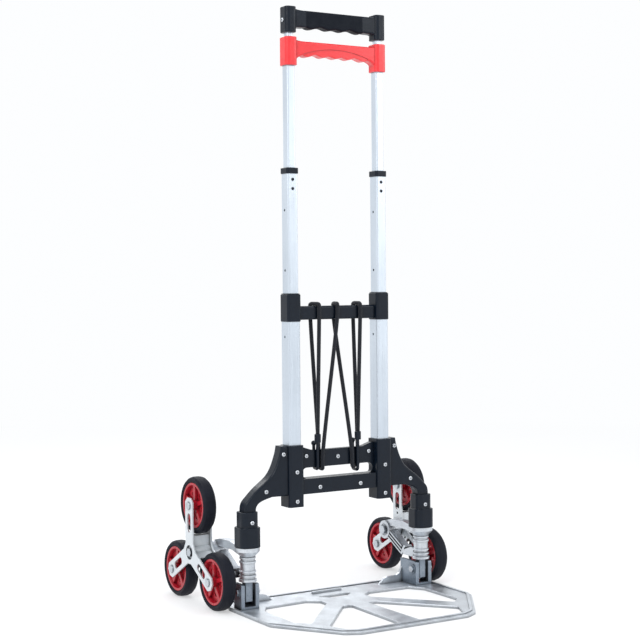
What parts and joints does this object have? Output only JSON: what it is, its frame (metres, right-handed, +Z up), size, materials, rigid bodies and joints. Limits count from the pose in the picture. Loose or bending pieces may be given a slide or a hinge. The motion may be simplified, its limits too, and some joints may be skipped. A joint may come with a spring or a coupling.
{
  "type": "stair climbing trolley",
  "caption": "Folding hand trolley with telescopic twin-tube mast, folding toe plate and rotating three-wheel clusters that climb stairs.",
  "frame": {"origin": "centre of the footprint, on the floor", "axes": "+Z up along the mast, -Y towards the toe plate (front), +Y towards the wheels (back), +X to the right of someone standing behind and facing the load"},
  "size_m": [0.4852, 0.4706, 1.037],
  "materials": {
    "black_plastic": "satin moulded",
    "black_grip": "soft matt",
    "red_plastic": "satin moulded",
    "hub_red": "semi gloss",
    "aluminium_tube": "brushed anodised",
    "cast_aluminium": "cast, tumbled",
    "pressed_aluminium": "satin",
    "zinc_steel": "bright zinc",
    "bright_steel": "bright",
    "dark_steel": "oiled",
    "cord_weave": "woven",
    "tyre_rubber": "matt"
  },
  "bodies": {
    "frame": {"brace": "black_plastic", "bungee_cord": "cord_weave", "bungee_hook_left": "black_plastic", "bungee_hook_right": "black_plastic", "frame_screws": "bright_steel", "frame_shell_front": "black_plastic", "frame_shell_rear": "black_plastic", "post_left": "zinc_steel", "post_right": "zinc_steel", "post_sleeve_left": "black_plastic", "post_sleeve_right": "black_plastic", "stage1_bushes": "black_plastic", "stage1_tube_left": "aluminium_tube", "stage1_tube_right": "aluminium_tube"},
    "stage2": {"stage2_collar_left": "black_plastic", "stage2_collar_right": "black_plastic", "stage2_pins": "black_plastic", "stage2_tube_left": "aluminium_tube", "stage2_tube_right": "aluminium_tube"},
    "stage3": {"lower_handle": "red_plastic", "stage3_tube_left": "aluminium_tube", "stage3_tube_right": "aluminium_tube"},
    "stage4": {"stage4_tube_left": "aluminium_tube", "stage4_tube_right": "aluminium_tube", "upper_handle": "black_plastic", "upper_handle_grip": "black_grip", "upper_handle_screws": "bright_steel"},
    "toe_plate": {"toe_plate": "cast_aluminium", "hinge_block_left": "cast_aluminium", "hinge_block_right": "cast_aluminium", "hinge_pins": "zinc_steel"},
    "wheel_arm_left": {"wheel_arm_left": "cast_aluminium", "arm_spring_left": "dark_steel", "cluster_axle_left": "zinc_steel"},
    "cluster_left": {"cluster_plate_outer_left": "pressed_aluminium", "cluster_plate_inner_left": "pressed_aluminium", "wheel_bolts_left": "zinc_steel"},
    "wheel_top_left": {"tyre_top_left": "tyre_rubber", "hub_top_left": "hub_red"},
    "wheel_rear_left": {"tyre_rear_left": "tyre_rubber", "hub_rear_left": "hub_red"},
    "wheel_front_left": {"tyre_front_left": "tyre_rubber", "hub_front_left": "hub_red"},
    "wheel_arm_right": {"wheel_arm_right": "cast_aluminium", "arm_spring_right": "dark_steel", "cluster_axle_right": "zinc_steel"},
    "cluster_right": {"cluster_plate_outer_right": "pressed_aluminium", "cluster_plate_inner_right": "pressed_aluminium", "wheel_bolts_right": "zinc_steel"},
    "wheel_top_right": {"tyre_top_right": "tyre_rubber", "hub_top_right": "hub_red"},
    "wheel_rear_right": {"tyre_rear_right": "tyre_rubber", "hub_rear_right": "hub_red"},
    "wheel_front_right": {"tyre_front_right": "tyre_rubber", "hub_front_right": "hub_red"}
  },
  "joints": [
    {"name": "stage2_slide", "type": "slide", "parent": "frame", "child": "stage2", "axis": [0, 0, 1], "range_m": [-0.175, 0]},
    {"name": "stage3_slide", "type": "slide", "parent": "stage2", "child": "stage3", "axis": [0, 0, 1], "range_m": [-0.17, 0]},
    {"name": "stage4_slide", "type": "slide", "parent": "stage3", "child": "stage4", "axis": [0, 0, 1], "range_m": [0, 0.15]},
    {"name": "toe_plate_fold", "type": "hinge", "parent": "frame", "child": "toe_plate", "pos_m": [0, 0.01024, 0.034], "axis": [-1, 0, 0], "range_deg": [0, 90]},
    {"name": "wheel_arm_fold_right", "type": "hinge", "parent": "frame", "child": "wheel_arm_right", "pos_m": [0.181, 0.00824, 0.09], "axis": [0, 0, 1], "range_deg": [0, 55]},
    {"name": "cluster_spin_right", "type": "hinge", "parent": "wheel_arm_right", "child": "cluster_right", "pos_m": [0.221, 0.11424, 0.091], "axis": [1, 0, 0], "continuous": true},
    {"name": "wheel_spin_top_right", "type": "hinge", "parent": "cluster_right", "child": "wheel_top_right", "pos_m": [0.221, 0.11424, 0.173], "axis": [1, 0, 0], "continuous": true},
    {"name": "wheel_spin_rear_right", "type": "hinge", "parent": "cluster_right", "child": "wheel_rear_right", "pos_m": [0.221, 0.18526, 0.05], "axis": [1, 0, 0], "continuous": true},
    {"name": "wheel_spin_front_right", "type": "hinge", "parent": "cluster_right", "child": "wheel_front_right", "pos_m": [0.221, 0.04323, 0.05], "axis": [1, 0, 0], "continuous": true},
    {"name": "wheel_arm_fold_left", "type": "hinge", "parent": "frame", "child": "wheel_arm_left", "pos_m": [-0.181, 0.00824, 0.09], "axis": [0, 0, -1], "range_deg": [0, 55]},
    {"name": "cluster_spin_left", "type": "hinge", "parent": "wheel_arm_left", "child": "cluster_left", "pos_m": [-0.221, 0.11424, 0.091], "axis": [1, 0, 0], "continuous": true},
    {"name": "wheel_spin_top_left", "type": "hinge", "parent": "cluster_left", "child": "wheel_top_left", "pos_m": [-0.221, 0.11424, 0.173], "axis": [1, 0, 0], "continuous": true},
    {"name": "wheel_spin_rear_left", "type": "hinge", "parent": "cluster_left", "child": "wheel_rear_left", "pos_m": [-0.221, 0.18526, 0.05], "axis": [1, 0, 0], "continuous": true},
    {"name": "wheel_spin_front_left", "type": "hinge", "parent": "cluster_left", "child": "wheel_front_left", "pos_m": [-0.221, 0.04323, 0.05], "axis": [1, 0, 0], "continuous": true}
  ],
  "couplings": [
    {"joint": "wheel_arm_fold_right", "follows": "toe_plate_fold", "ratio": 0.6111},
    {"joint": "wheel_arm_fold_left", "follows": "toe_plate_fold", "ratio": 0.6111}
  ]
}
